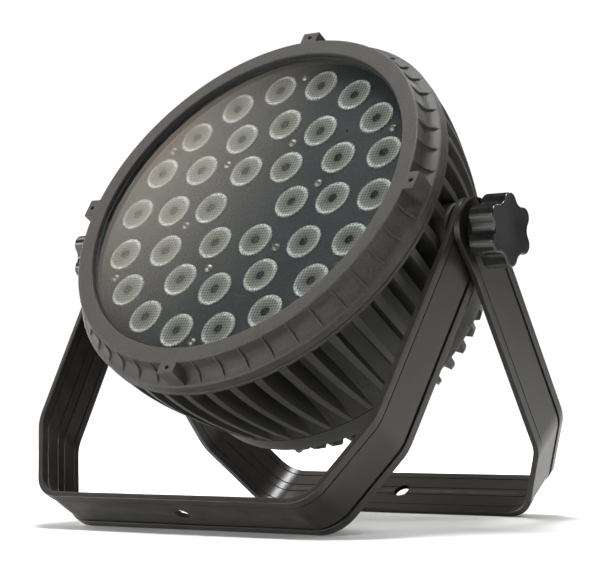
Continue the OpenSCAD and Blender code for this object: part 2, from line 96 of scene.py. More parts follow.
# The brackets, with each path down one leg as (half width, height) of its corners on the outer face.
STRIP_W = 37.7
STRIP_T = 3.8
STRIP_WEB = 3.1
STRIP_RIM = 5.4
GROOVE_AT = 3.4
GROOVE_W = 0.9
GROOVE_T = 0.5
GROOVE_EASE = 0.12
FOOT_W = 1.2
FOOT_T = 0.8
END_R = 20.6
BEND_R = (60.0, 30.0, 24.0)
HANG_HOLE_R = 5.25
OUTER_SLOPE = math.radians(OUTER_ANGLE)
INNER_BAR = 193.4
OUTER_BAR = (PIVOT.z - STRIP_W / 2 * math.sin(OUTER_SLOPE)) / math.cos(OUTER_SLOPE)
INNER_PATH = ((140.3, -20.0), (132.65, -138.9), (104.7, -INNER_BAR))
OUTER_PATH = ((145.0, -20.0), (136.95, -150.9), (107.7, -OUTER_BAR))

# The star knobs, with distances out along the tilt axis.
STAR_BACK = 150.8
STAR_FACE = 167.8
DOME_RISE = 0.4
DOME_R = 16.0
LOBE_R = 6.2
LOBE_AT = 15.8
VALLEY_R = 6.77
VALLEY_AT = 23.97
HUB_R = 6.05
HUB_DEEP = 6.9

HEAD = Matrix.Scale(MM, 4) @ Matrix.Translation(PIVOT) @ Matrix.Rotation(math.radians(90 - TILT), 4, "X")
AXLE = Matrix.Scale(MM, 4) @ Matrix.Translation(PIVOT)

# Corners sharper than CREASE stay sharp, and points closer than WELD are one.
CREASE = 32.0
WELD = 0.002
EDGE_ROUND = 0.25
THIN_EDGE_ROUND = 0.05

# Pattern sizes that several finishes share.
CLOUD = 38.0
# Patches of rubbed coat and of painted edge highlight.
WEAR_AND_HIGHLIGHT_PATCH = 9.0
PANE_WAVE = 60.0

# The lamps, in metres.
LAMP_AIM = Vector((0, 0, 0.17))
LAMP_AWAY = 1.6
LAMP_SIZE = (0.9, 0.8)
FLOOR_HALF = 6.0

# ---- shaders ----


def linear(code):
    """An sRGB hex colour as linear red, green, blue and alpha."""
    parts = [int(code[i:i + 2], 16) / 255 for i in (0, 2, 4)]
    return tuple(c / 12.92 if c <= 0.04045 else ((c + 0.055) / 1.055) ** 2.4 for c in parts) + (1.0,)


def put(tree, kind, sockets=None, **settings):
    """Add a shader node, set its own settings, and fill or link its inputs."""
    node = tree.nodes.new("ShaderNode" + kind)
    for name, value in settings.items():
        setattr(node, name, value)
    for name, value in (sockets or {}).items():
        if isinstance(value, bpy.types.NodeSocket):
            tree.links.new(value, node.inputs[name])
        else:
            node.inputs[name].default_value = value
    return node


def ramp(tree, factor, stops):
    """A colour ramp through (position, hex colour) stops."""
    node = put(tree, "ValToRGB", {"Fac": factor})
    band = node.color_ramp
    while len(band.elements) < len(stops):
        band.elements.new(0.5)
    for element, (position, code) in zip(band.elements, stops):
        element.position = position
        element.color = linear(code)
    return node.outputs["Color"]


def new_material(name):
    """An empty node material and its tree."""
    material = bpy.data.materials.new(name)
    material.use_nodes = True
    tree = material.node_tree
    tree.nodes.clear()
    return material, tree


def surface(name, dark, light, grain, rough, bump, metallic=0.0, stretch=(1, 1, 1), wear_and_edge_highlight=None, **shader):
    """A finish from two hex colours, a roughness range, and its grain size and relief in millimetres."""
    material, tree = new_material(name)
    place = put(tree, "TexCoord").outputs["Object"]
    scaled = put(tree, "Mapping", {"Vector": place, "Scale": stretch}).outputs["Vector"]
    grit = put(tree, "TexNoise", {
        "Vector": scaled, "Scale": 1 / (grain * MM), "Detail": 3.0, "Roughness": 0.6,
    }).outputs["Fac"]
    cloud = put(tree, "TexNoise", {"Vector": place, "Scale": 1 / (CLOUD * MM), "Detail": 2.0}).outputs["Fac"]
    mottle = put(tree, "Mix", {"Factor": 0.12, "A": grit, "B": cloud}).outputs["Result"]
    colour = ramp(tree, mottle, ((0.32, dark), (0.68, light)))
    # Corners lightened in patches: rubbed coat and painted highlight.
    if wear_and_edge_highlight:
        colour = worn_and_lit_edges(tree, colour, wear_and_edge_highlight)
    sockets = {
        "Base Color": colour,
        "Metallic": metallic,
        "Roughness": put(tree, "MapRange", {
            "Value": mottle, "From Min": 0.3, "From Max": 0.7, "To Min": rough[0], "To Max": rough[1],
        }).outputs["Result"],
        "Normal": put(tree, "Bump", {
            "Height": grit, "Strength": 1.0, "Distance": bump * MM,
        }).outputs["Normal"],
    }
    sockets.update(shader)
    shade = put(tree, "BsdfPrincipled", sockets)
    put(tree, "OutputMaterial", {"Surface": shade.outputs["BSDF"]})
    return material


def worn_and_lit_edges(tree, colour, code):
    """Outer corners lighter in patches: partly coat rubbed thin, partly painted highlight where they catch the
    light.
    """
    turn = put(tree, "NewGeometry").outputs["Pointiness"]
    place = put(tree, "TexCoord").outputs["Object"]
    wear_and_highlight_patches = put(tree, "TexNoise", {
        "Vector": place, "Scale": 1 / (WEAR_AND_HIGHLIGHT_PATCH * MM), "Detail": 4.0,
    }).outputs["Fac"]
    edge = put(tree, "MapRange", {"Value": turn, "From Min": 0.52, "From Max": 0.62}).outputs["Result"]
    spot = put(tree, "MapRange", {"Value": wear_and_highlight_patches, "From Min": 0.3, "From Max": 0.65}).outputs["Result"]
    # Painted highlight and wear together: the corners, where the patches fall.
    share = put(tree, "Math", {0: edge, 1: spot}, operation="MULTIPLY").outputs[0]
    # Inputs 6 and 7 and output 2 are the ones for colour.
    return put(tree, "Mix", {"Factor": share, 6: colour, 7: linear(code)}, data_type="RGBA").outputs[2]


def clear_sheet(name, tint):
    """Clear glass that lamps shine through: lit as a pane, seen as glass."""
    material, tree = new_material(name)
    place = put(tree, "TexCoord").outputs["Object"]
    wave = put(tree, "TexNoise", {
        "Vector": place, "Scale": 1 / (PANE_WAVE * MM), "Detail": 1.0,
    }).outputs["Fac"]
    flow = put(tree, "Bump", {"Height": wave, "Strength": 1.0, "Distance": 0.02 * MM}).outputs["Normal"]
    glass = put(tree, "BsdfPrincipled", {
        "Base Color": linear(tint), "Roughness": 0.02, "IOR": 1.5, "Transmission Weight": 1.0, "Normal": flow,
    })
    open_air = put(tree, "BsdfTransparent", {"Color": linear("f4f7f6")})
    shadow = put(tree, "LightPath").outputs["Is Shadow Ray"]
    mixed = put(tree, "MixShader", {"Fac": shadow, 1: glass.outputs["BSDF"], 2: open_air.outputs["BSDF"]})
    put(tree, "OutputMaterial", {"Surface": mixed.outputs["Shader"]})
    return material


def lens_acrylic():
    """Clear moulded acrylic over a pale cup: a milky ridged face round a dark LED, with painted highlights in
    the rim.
    """
    material, tree = new_material("ridged_acrylic_painted_glints")
    place = put(tree, "TexCoord").outputs["Object"]
    radius = put(tree, "Attribute", attribute_name="lens_radius").outputs["Fac"]
    side = put(tree, "Attribute", attribute_name="painted_glint_side").outputs["Fac"]
    # From the LED in the middle, through the milky field, to the rim, whose lighter band is a painted
    # highlight.
    tone = ramp(tree, radius, (
        (0.0, "0b0c0d"), (0.22, "0f1011"), (0.26, "403f3d"), (0.5, "504f4c"),
        (0.72, "5a5955"), (0.86, "6e6c67"), (0.94, "64625e"), (1.0, "474643"),
    ))
    # Crossed ridges really 1.15 mm apart, drawn coarser so that they show. The wave repeats once a unit.
    pitch_x, pitch_z = 2.1, 1.7
    across = put(tree, "Mapping", {
        "Vector": place, "Scale": (1000 / pitch_x, 1.0, 1000 / pitch_z),
    }).outputs["Vector"]
    lines = [
        put(tree, "TexWave", {"Vector": across, "Scale": 0.314}, bands_direction=axis).outputs["Fac"]
        for axis in ("X", "Z")
    ]
    grid = put(tree, "Math", {0: lines[0], 1: lines[1]}, operation="ADD").outputs[0]
    relief = put(tree, "Bump", {"Height": grid, "Strength": 1.0, "Distance": 0.07 * MM}).outputs["Normal"]
    ridges = put(tree, "MapRange", {
        "Value": grid, "From Min": 0.2, "From Max": 1.7, "To Min": 0.5, "To Max": 1.45,
    }).outputs["Result"]
    lined = put(tree, "VectorMath", {0: tone, 1: ridges}, operation="MULTIPLY").outputs["Vector"]
    # Painted highlight: glint streaks 1.1 mm wide in the rim, on two opposite sides, where the moulding would
    # gather light.
    rim = ramp(tree, radius, ((0.72, "000000"), (0.88, "ffffff"), (0.95, "d0d0d0"), (0.99, "000000")))
    glint_streak = put(tree, "TexNoise", {"Vector": place, "Scale": 1 / (1.1 * MM), "Detail": 2.0}).outputs["Fac"]
    bright = put(tree, "MapRange", {
        "Value": glint_streak, "From Min": 0.38, "From Max": 0.68, "To Max": 0.36,
    }).outputs["Result"]
    glint_side_mask = put(tree, "MapRange", {
        "Value": side, "From Min": 0.55, "From Max": 0.9, "To Min": 0.15,
    }).outputs["Result"]
    share = put(tree, "Math", {0: bright, 1: glint_side_mask}, operation="MULTIPLY").outputs[0]
    painted_glint = put(tree, "VectorMath", {0: rim, 1: share}, operation="MULTIPLY").outputs["Vector"]
    colour = put(tree, "VectorMath", {0: lined, 1: painted_glint}, operation="ADD").outputs["Vector"]
    shade = put(tree, "BsdfPrincipled", {
        "Base Color": colour, "Roughness": 0.2, "IOR": 1.49, "Normal": relief,
    })
    put(tree, "OutputMaterial", {"Surface": shade.outputs["BSDF"]})
    return material


FINISHES = {
    # Sandy powder coat on die-cast aluminium: matt, warm dark grey, with grit that breaks up every highlight.
    # Real grit is about 0.3 mm; it is drawn at 1.2 mm so that it shows.
    # Its corners are lighter in patches: rubbed coat and painted highlight.
    "cast_coat": surface("sandy_powder_coat", "21201e", "3b3936", 1.2, (0.5, 0.66), 0.2, wear_and_edge_highlight="494744"),
    # Smooth satin powder coat on extruded aluminium strip: low soft sheen, lighter along the corners with
    # rubbed coat and painted highlight.
    # Its orange peel is really finer, and is drawn at 1.3 mm.
    "strip_coat": surface("satin_powder_coat", "1c1917", "24211e", 1.3, (0.3, 0.38), 0.022, wear_and_edge_highlight="47433e"),
    # Toughened float glass: clear, with a sharp mirror of the surroundings.
    "front_glass": clear_sheet("toughened_glass", "eef4f3"),
    "lens_acrylic": lens_acrylic(),
    # Dark paint on sheet aluminium: cool near black, with little shine, so the lenses stand out on it.
    "plate_paint": surface("plate_satin_paint", "17191c", "1f2124", 2.2, (0.5, 0.6), 0.003,
                           **{"Specular IOR Level": 0.25}),
    # Moulded silicone rubber: matt, with a faint mould bloom.
    "silicone": surface("moulded_silicone", "131313", "1d1d1c", 1.1, (0.62, 0.76), 0.03),
    # Moulded nylon: black, slightly rough from the mould.
    "nylon": surface("moulded_nylon", "121212", "1a1a1a", 1.0, (0.4, 0.5), 0.03),
    # Stainless steel, cold formed: a soft warm grey shine that picks the small heads out of the dark.
    "screw_steel": surface("stainless_steel", "757069", "928c82", 0.8, (0.26, 0.38), 0.008, metallic=1.0),
    # Moulded glossy phenolic: near black, with soft-edged bright reflections and faint flow marks.
    "knob_plastic": surface("glossy_phenolic", "151514", "1e1d1c", 6.0, (0.2, 0.24), 0.001, **{"IOR": 1.58}),
    # Phosphor under a clear dome: cream, a little waxy.
    "led_phosphor": surface("cream_phosphor", "cfc183", "e6dba6", 0.7, (0.25, 0.35), 0.01),
    # White solder mask on aluminium board: bright, a little glossy.
    "board_white": surface("white_solder_mask", "cfd1cf", "e2e3e1", 1.6, (0.3, 0.38), 0.012),
    # Green solder mask on glass fibre board: deep green, a little glossy.
    "board_green": surface("green_solder_mask", "0f3f24", "16522f", 1.6, (0.28, 0.36), 0.02),
    # Plain drawn aluminium case: pale metal with its grain run out along the drawing.
    "psu_case": surface("drawn_aluminium", "a5a6a7", "bdbebe", 0.9, (0.36, 0.46), 0.015, metallic=1.0,
                        stretch=(0.08, 1, 1)),
    # Silicone wire insulation: red and soft, without shine.
    "wire_red": surface("wire_insulation", "7d1510", "93201a", 0.9, (0.48, 0.58), 0.01),
    # Smoked acrylic display window: black, with a sharp shine.
    "display_glass": surface("smoked_window", "07090d", "0b0e13", 7.0, (0.06, 0.1), 0.004),
    # Embossed polyester film panel: black, with a low sheen.
    "panel_film": surface("polyester_film", "141416", "1c1c1e", 0.8, (0.34, 0.42), 0.02),
    # Moulded silicone button: matt, a shade lighter than the panel.
    "button_rubber": surface("button_silicone", "202020", "2a2a29", 0.9, (0.6, 0.72), 0.02),
    # Glass-filled nylon sockets: black, with a visible mould texture.
    "socket_plastic": surface("glass_filled_nylon", "101011", "19191a", 0.8, (0.3, 0.4), 0.035),
}

NODE_FINISH = {
    "cast_coat": ("rear_cover", "glass_retaining_ring"),
    "front_glass": ("front_glass",),
    "plate_paint": ("lens_plate",),
    "silicone": ("bezel_gasket", "glass_gasket", "rear_gasket", "thermal_pad", "lead_grommet"),
    "nylon": (
        "lens_holders", "vent_plug", "right_clamp_washer", "left_clamp_washer", "right_friction_washer",
        "left_friction_washer", "right_spacer_washer", "left_spacer_washer",
    ),
    "screw_steel": (
        "bezel_screws", "plate_standoffs", "plate_screws", "power_supply_screws", "control_board_posts",
        "rear_cover_screws", "safety_eye", "right_pivot_insert", "left_pivot_insert", "right_knob_hub",
        "left_knob_hub", "right_knob_stud", "left_knob_stud",
    ),
    "led_phosphor": ("led_chips",),
    "board_white": ("led_board",),
    "board_green": ("control_board",),
    "psu_case": ("power_supply",),
    "wire_red": ("led_leads",),
    "display_glass": ("display_window", "display_module"),
    "panel_film": ("control_panel",),
    "button_rubber": ("menu_button", "down_button", "up_button", "enter_button"),
    "socket_plastic": ("power_inlet", "power_outlet", "data_inlet", "data_outlet", "socket_nuts"),
}

# ---- mesh tools ----


def piece(name, verts, faces, place, finish, body, stands_for, sharp=CREASE):
    """Make one piece from points and faces, smooth shaded with sharp corners, riding on a body."""
    mesh = bpy.data.meshes.new(name)
    mesh.from_pydata([place @ Vector(v) for v in verts], [], faces)
    work = bmesh.new()
    work.from_mesh(mesh)
    bmesh.ops.remove_doubles(work, verts=work.verts, dist=WELD * MM)
    bmesh.ops.recalc_face_normals(work, faces=work.faces)
    work.to_mesh(mesh)
    work.free()
    mesh.materials.append(FINISHES[finish])
    obj = bpy.data.objects.new(name, mesh)
    smooth(obj, sharp)
    bpy.context.scene.collection.objects.link(obj)
    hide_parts(*stands_for)
    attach(obj, body)
    return obj


def smooth(obj, sharp):
    """Shade smooth, with creases kept, and with the large flat faces kept flat."""
    obj.data.polygons.foreach_set("use_smooth", [True] * len(obj.data.polygons))
    obj.data.set_sharp_from_angle(angle=math.radians(sharp))
    level = obj.modifiers.new("flat_faces", "WEIGHTED_NORMAL")
    level.keep_sharp = True


def grid_faces(rows, columns, closed_columns=True, closed_rows=False, start=0):
    """Quads of a grid of points stored row by row."""
    faces = []
    for i in range(rows if closed_rows else rows - 1):
        for j in range(columns if closed_columns else columns - 1):
            row, next_row = start + i * columns, start + (i + 1) % rows * columns
            next_j = (j + 1) % columns
            faces.append([row + j, row + next_j, next_row + next_j, next_row + j])
    return faces


def add_shell(verts, faces, rings):
    """Append a closed band of rings, each a list of the same number of points, that joins end to start."""
    start = len(verts)
    columns = len(rings[0])
    for ring in rings:
        verts.extend(ring)
    faces.extend(grid_faces(len(rings), columns, True, True, start))


def circle(r, z, count):
    """Points round a circle at height z."""
    angles = [2 * math.pi * k / count for k in range(count)]
    return [(r * math.cos(a), r * math.sin(a), z) for a in angles]


def turned(point, degrees):
    """The point turned round the z axis."""
    a = math.radians(degrees)
    x, y, z = point
    return (x * math.cos(a) - y * math.sin(a), x * math.sin(a) + y * math.cos(a), z)


# ---- bezel ----


def bezel_profile():
    """(radius, z, a rib's rise along the radius and along z) from the lip round the front and back inside."""
    rows = [
        (LIP_R, 49.4, 0, 0), (LIP_R, 51.9, 0, 0), (LIP_R + 0.25, 52.45, 0, 0),
        (LIP_R + 0.8, BEZEL_FRONT, 0, 0), (RIM_R - 1.0, BEZEL_FRONT, 0, 0), (RIM_R - 0.5, 52.56, 0, 0),
        (RIM_R - 0.12, 52.2, 0.1, 0), (RIM_R, 51.7, 0.3, 0), (RIM_R, 49.4, 0.8, 0),
    ]
    for a in range(0, 81, 10):
        c, s = math.cos(math.radians(a)), math.sin(math.radians(a))
        share = RIB_H * (1.0 if a <= 60 else (80 - a) / 26)
        rows.append((RIM_R + COVE_R - COVE_R * c, COVE_START - COVE_R * s, share * c, share * s))
    return rows + [
        (FLANGE_R - 0.4, 38.15, 0, 0), (FLANGE_R, 37.6, 0, 0), (FLANGE_R, 32.6, 0, 0),
        (FLANGE_R - 0.4, BEZEL_REAR, 0, 0), (113.5, BEZEL_REAR, 0, 0), (113.5, 40.4, 0, 0),
        (117.6, 40.4, 0, 0), (117.6, 49.4, 0, 0),
    ]


def add_ear(verts, faces, degrees):
    """One small block on the bezel's side with a screw hole down through its front face."""
    half = EAR_W / 2
    top = BEZEL_FRONT - 0.02
    corners = ((EAR_IN, -half), (EAR_OUT, -half), (EAR_OUT, half), (EAR_IN, half))
    outline = []
    for (x0, y0), (x1, y1) in zip(corners, corners[1:] + corners[:1]):
        outline += [(x0 + (x1 - x0) * k / 6, y0 + (y1 - y0) * k / 6) for k in range(6)]
    count = len(outline)

    def inset(amount, z):
        mid = (EAR_IN + EAR_OUT) / 2
        deep, wide = 1 - amount / (EAR_OUT - mid), 1 - amount / half
        return [(mid + (x - mid) * deep, y * wide, z) for x, y in outline]

    angles = [math.atan2(y, x - EAR_HOLE_AT) for x, y in outline]
    hole = [(EAR_HOLE_AT + EAR_HOLE_R * math.cos(a), EAR_HOLE_R * math.sin(a)) for a in angles]
    rings = [
        inset(0, EAR_LOW), inset(0, top - EAR_BEVEL), inset(EAR_BEVEL * 0.3, top - EAR_BEVEL * 0.3),
        inset(EAR_BEVEL, top), [(EAR_HOLE_AT + (x - EAR_HOLE_AT) * 1.25, y * 1.25, top) for x, y in hole],
        [(x, y, top - 0.35) for x, y in hole], [(x, y, top - 9) for x, y in hole],
    ]
    start = len(verts)
    for ring in rings:
        verts.extend(turned(p, degrees) for p in ring)
    faces.extend(grid_faces(len(rings), count, True, False, start))
    faces.append([start + k for k in range(count)][::-1])
    faces.append([start + (len(rings) - 1) * count + k for k in range(count)])


def make_bezel():
    """The ribbed ring round the glass, with its four ears."""
    rib_shape = ((-0.85, 0.0), (-0.6, 0.75), (-0.34, 1.0), (0.34, 1.0), (0.6, 0.75), (0.85, 0.0))
    step = 360 / FIN_COUNT
    spokes = []
    for k in range(FIN_COUNT):
        spokes += [(k * step + math.degrees(across / RIB_AT_R), lift) for across, lift in rib_shape]
        spokes += [(k * step + step * share, 0.0) for share in (0.2, 0.4, 0.6, 0.8)]
    rings = [
        [turned((r + lift * out_r, 0, z + lift * out_z), angle) for angle, lift in spokes]
        for r, z, out_r, out_z in bezel_profile()
    ]
    verts, faces = [], []
    add_shell(verts, faces, rings)
    for k in range(4):
        add_ear(verts, faces, 90 * k)
    bezel = piece("bezel_casting", verts, faces, HEAD, "cast_coat", "head", ["front_bezel"])
    # The wall of the lip takes the black seal's finish, not the coat: painted shade for the wall in shadow,
    # with the seal's edge that shows there.
    bezel.data.materials.append(FINISHES["silicone"])
    inverse = HEAD.inverted()
    for face in bezel.data.polygons:
        middle = inverse @ face.center
        if math.hypot(middle.x, middle.y) < LIP_R + 0.05:
            face.material_index = 1


# ---- finned housing ----


def barrel_r(z, front_r, rear_r):
    """Radius over the fins at height z, which falls away faster towards the back."""
    share = max(0.0, (FLANGE_REAR - z) / BARREL_LEN)
    return front_r - (front_r - rear_r) * share ** 1.6


def root_r(z):
    """Radius of the gaps between the fins, which run out at the rear cover."""
    share = max(0.0, (FLANGE_REAR - z) / BARREL_LEN)
    return barrel_r(z, FLANGE_R, COVER_R) - FIN_DEPTH * (1 - share ** 3)


def fin_row(z, drop):
    """One ring round the fins at height z. drop runs from 0, no gaps yet, to 1, full gap depth."""
    share = max(0.0, (FLANGE_REAR - z) / BARREL_LEN)
    half = (FIN_FRONT_T + (FIN_REAR_T - FIN_FRONT_T) * share) / 2
    root = root_r(z)
    edge = max(barrel_r(z, FLANGE_R - 0.1, COVER_R), root + 0.01)
    root = edge + (root - edge) * drop
    rise = edge - root
    foot = min(FIN_FOOT, rise * 0.3)
    nose = min(FIN_NOSE, rise * 0.3, half * 0.5)
    base = half + FIN_DRAFT
    side = [
        (base + foot, 0.0), (base + foot * 0.3, foot * 0.3), (base, foot),
        (half, rise - nose), (half - nose * 0.3, rise - nose * 0.3), (half - nose, rise),
    ]
    shape = [(-x, h) for x, h in side] + [(x, h) for x, h in reversed(side)]
    ring = []
    step = 360 / FIN_COUNT
    for k in range(FIN_COUNT):
        ring += [turned((root + h, x, z), k * step) for x, h in shape]
        ring += [turned((root, 0, z), k * step + step * share) for share in (0.42, 0.58)]
    return ring


def make_housing():
    """The finned barrel, hollow behind the lens chamber's floor, with its two pivot bosses."""
    angles = [math.degrees(math.atan2(y, x)) for x, y, z in fin_row(FLANGE_REAR, 1)]

    def plain(r, z):
        return [turned((r, 0, z), a) for a in angles]

    rings = [
        plain(BEZEL_SEAT_R, CHAMBER_FLOOR), plain(BEZEL_SEAT_R, BEZEL_SEAT), plain(FLANGE_R - 0.4, BEZEL_SEAT),
        plain(FLANGE_R, 31.3), plain(FLANGE_R, 29.7), plain(FLANGE_R - 0.15, 29.35),
        fin_row(FLANGE_REAR, 0.03), fin_row(29.15, 0.93), fin_row(28.8, 0.985), fin_row(FIN_START, 1.0),
    ]
    for i in range(1, FIN_ROWS + 1):
        share = i / FIN_ROWS
        z = FIN_START - (FIN_START + COVER_JOINT - 0.25) * (0.65 * share + 0.35 * share ** 0.8)
        rings.append(fin_row(z, 1.0))
    rings += [
        plain(COVER_R - 0.25, -COVER_JOINT), plain(COVER_SEAT_R, -COVER_JOINT), plain(COVER_SEAT_R, -46),
        plain(BARREL_BORE_R, -40), plain(BARREL_BORE_R, CHAMBER_FLOOR_BACK),
        plain(LEAD_HOLE_R, CHAMBER_FLOOR_BACK), plain(LEAD_HOLE_R, CHAMBER_FLOOR),
    ]
    verts, faces = [], []
    add_shell(verts, faces, rings)
    boss = (
        (8.0, 113.0), (BOSS_R, 105.2), (BOSS_R, 133.2), (18.0, 133.7), (17.5, BOSS_END), (8.6, BOSS_END),
        (8.0, 133.5),
    )
    for side in (-1, 1):
        turn = Matrix.Rotation(math.radians(90 * side), 4, "Y")
        add_shell(verts, faces, [[tuple(turn @ Vector(p)) for p in circle(r, z, 72)] for r, z in boss])
    piece("head_casting", verts, faces, HEAD, "cast_coat", "head", ["housing"])


# ---- brackets ----


def strip_section():
    """The strip's outline: (place across the width, depth under the outer face), with softened corners."""
    edge = STRIP_W / 2
    rim = edge - STRIP_RIM
    web = STRIP_T - STRIP_WEB
    soft = 0.55
    deep = web + FOOT_T
    half = [
        (0.0, web), (rim - FOOT_W - 0.35, web), (rim - FOOT_W - 0.1, web + 0.1), (rim - FOOT_W, web + 0.35),
        (rim - FOOT_W, deep), (rim, deep), (rim, 0.45), (rim + 0.13, 0.13), (rim + 0.45, 0.0),
        (edge - soft, 0.0), (edge - soft * 0.3, soft * 0.3), (edge, soft), (edge, STRIP_T - soft),
        (edge - soft * 0.3, STRIP_T - soft * 0.3), (edge - soft, STRIP_T),
    ]
    for place in (rim, GROOVE_AT):
        half += [
            (place + GROOVE_W / 2 + GROOVE_EASE, STRIP_T), (place + GROOVE_W / 2, STRIP_T - GROOVE_EASE),
            (place + GROOVE_W / 2, STRIP_T - GROOVE_T), (place - GROOVE_W / 2, STRIP_T - GROOVE_T),
            (place - GROOVE_W / 2, STRIP_T - GROOVE_EASE), (place - GROOVE_W / 2 - GROOVE_EASE, STRIP_T),
        ]
    half.append((0.0, STRIP_T))
    return half + [(-u, d) for u, d in reversed(half[1:-1])]


def strip_route(half_path):
    """Points down the outer face of one leg, across the bar and up the other, each with its outward way."""
    top = (half_path[0][0], END_R)
    corners = [Vector(p) for p in (top,) + half_path + ((-half_path[2][0], half_path[2][1]),)]
    route = []
    first = (corners[1] - corners[0]).normalized()
    out = Vector((-first.y, first.x))
    for k in range(13):
        rise = END_R * math.cos(math.radians(7.5 * k))
        route.append((Vector((top[0], rise)), out))
    for i in (1, 2, 3):
        before = (corners[i] - corners[i - 1]).normalized()
        after = (corners[i + 1] - corners[i]).normalized()
        angle = before.angle(after)
        radius = BEND_R[i - 1]
        inward = Vector((before.y, -before.x))
        centre = corners[i] - before * radius * math.tan(angle / 2) + inward * radius
        steps = max(3, math.ceil(math.degrees(angle) / 3))
        start = math.atan2(-inward.y, -inward.x)
        for k in range(steps + 1):
            a = start - angle * k / steps
            away = Vector((math.cos(a), math.sin(a)))
            route.append((centre + away * radius, away))
    return route + [(Vector((-p.x, p.y)), Vector((-n.x, n.y))) for p, n in reversed(route)]


def drill(obj, place, r, length):
    """Cut a round hole through a piece, along the z axis of place."""
    work = bmesh.new()
    bmesh.ops.create_cone(work, cap_ends=True, segments=48, radius1=r * MM, radius2=r * MM, depth=length * MM)
    mesh = bpy.data.meshes.new("cutter")
    work.to_mesh(mesh)
    work.free()
    cutter = bpy.data.objects.new("cutter", mesh)
    bpy.context.scene.collection.objects.link(cutter)
    cutter.matrix_world = place
    bpy.context.view_layer.update()
    cut = obj.modifiers.new("hole", "BOOLEAN")
    cut.object = cutter
    cut.operation = "DIFFERENCE"
    cut.solver = "EXACT"
    made = bpy.data.meshes.new_from_object(obj.evaluated_get(bpy.context.evaluated_depsgraph_get()))
    obj.modifiers.clear()
    obj.data = made
    bpy.data.objects.remove(cutter)
    smooth(obj, CREASE)


def make_bracket(name, half_path, degrees, node):
    """One U bracket: the strip's section carried down the path, its ends rounded, its bar drilled."""
    section = strip_section()
    route = strip_route(half_path)
    verts = []
    for point, out in route:
        wide = min(STRIP_W / 2, math.sqrt(max(0.0, END_R ** 2 - max(0.0, point.y) ** 2)))
        for u, depth in section:
            inside = point - out * depth
            verts.append((inside.x, max(-wide, min(wide, u)), inside.y))
    faces = grid_faces(len(route), len(section))
    place = AXLE @ Matrix.Rotation(math.radians(degrees), 4, "X")
    strip = piece(name, verts, faces, place, "strip_coat", node, [node])
    metres = place @ Matrix.Translation((0, 0, half_path[2][1])) @ Matrix.Scale(1 / MM, 4)
    drill(strip, metres, HANG_HOLE_R, 20)


# ---- knobs ----


def star_outline():
    """(y, z) points round a six-lobed star whose lobes and valleys are arcs that run into each other."""
    reach = math.degrees(math.atan2(VALLEY_AT * math.sin(math.radians(30)),
                                    VALLEY_AT * math.cos(math.radians(30)) - LOBE_AT))
    points = []
    for lobe in range(6):
        base = math.radians(90 + 60 * lobe)
        centre = Vector((math.cos(base), math.sin(base))) * LOBE_AT
        for k in range(14):
            a = base + math.radians(-reach + 2 * reach * k / 13)
            points.append(centre + Vector((math.cos(a), math.sin(a))) * LOBE_R)
        middle = base + math.radians(30)
        centre = Vector((math.cos(middle), math.sin(middle))) * VALLEY_AT
        sweep = reach - 30
        for k in range(1, 8):
            a = middle + math.pi + math.radians(sweep - 2 * sweep * k / 8)
            points.append(centre + Vector((math.cos(a), math.sin(a))) * VALLEY_R)
    return points


def inset_outline(points, amount):
    """The outline moved inwards by an amount."""
    made = []
    for i, p in enumerate(points):
        along = points[(i + 1) % len(points)] - points[i - 1]
        made.append(p - Vector((along.y, -along.x)).normalized() * amount)
    return made


def make_knob(side_name, side):
    """A star knob, from the hub's socket in its back, over its edge, to its slightly domed face."""
    outline = star_outline()
    count = len(outline)
    bore = [Vector((math.cos(a), math.sin(a))) * HUB_R for a in (math.atan2(p.y, p.x) for p in outline)]
    rings = [[(x, *p) for p in bore] for x in (STAR_BACK + HUB_DEEP, STAR_BACK)]
    sections = (
        (STAR_BACK, 0.9), (STAR_BACK + 0.25, 0.25), (STAR_BACK + 0.9, 0.0), (STAR_FACE - 1.0, 0.0),
        (STAR_FACE - 0.55, 0.1), (STAR_FACE - 0.2, 0.36), (STAR_FACE, 0.8),
    )
    rings += [[(x, *p) for p in inset_outline(outline, amount)] for x, amount in sections]
    face = inset_outline(outline, sections[-1][1])
    for share in (0.86, 0.7, 0.5, 0.3, 0.12):
        spots = [p * share for p in face]
        lifts = [DOME_RISE * max(0.0, 1 - (p.length / DOME_R) ** 2) ** 2 for p in spots]
        rings.append([(STAR_FACE + lift, *p) for lift, p in zip(lifts, spots)])
    verts = []
    for ring in rings:
        verts.extend((side * x, side * y, z) for x, y, z in ring)
    faces = grid_faces(len(rings), count)
    faces.append(list(range(count)))
    faces.append([(len(rings) - 1) * count + k for k in range(count)])
    body = side_name + "_knob"
    piece(side_name + "_star_knob", verts, faces, AXLE, "knob_plastic", body, [body], sharp=40)


# ---- lenses ----


def lens_profile():
    """(radius, z) from the middle of the lens face, over the raised rim, to its edge and underside."""
    dish = [(0.0, -0.12), (1.6, -0.12), (2.6, -0.1), (3.0, 0.0)]
    dish += [(r, 0.34 * math.sin(math.radians(90 * (r - 3.0) / 6.2))) for r in (4.0, 5.0, 6.2, 7.4, 8.4, 9.2)]
    rim = [
        (9.8, 0.3), (10.3, 0.42), (10.9, 0.56), (11.4, 0.55), (11.8, 0.42), (12.12, 0.2), (12.28, -0.1),
        (LENS_R, -0.5),
    ]
    return [(r, LENS_FACE + z) for r, z in dish + rim] + [(LENS_R, 38.0), (5.2, 31.0), (0.0, 31.0)]


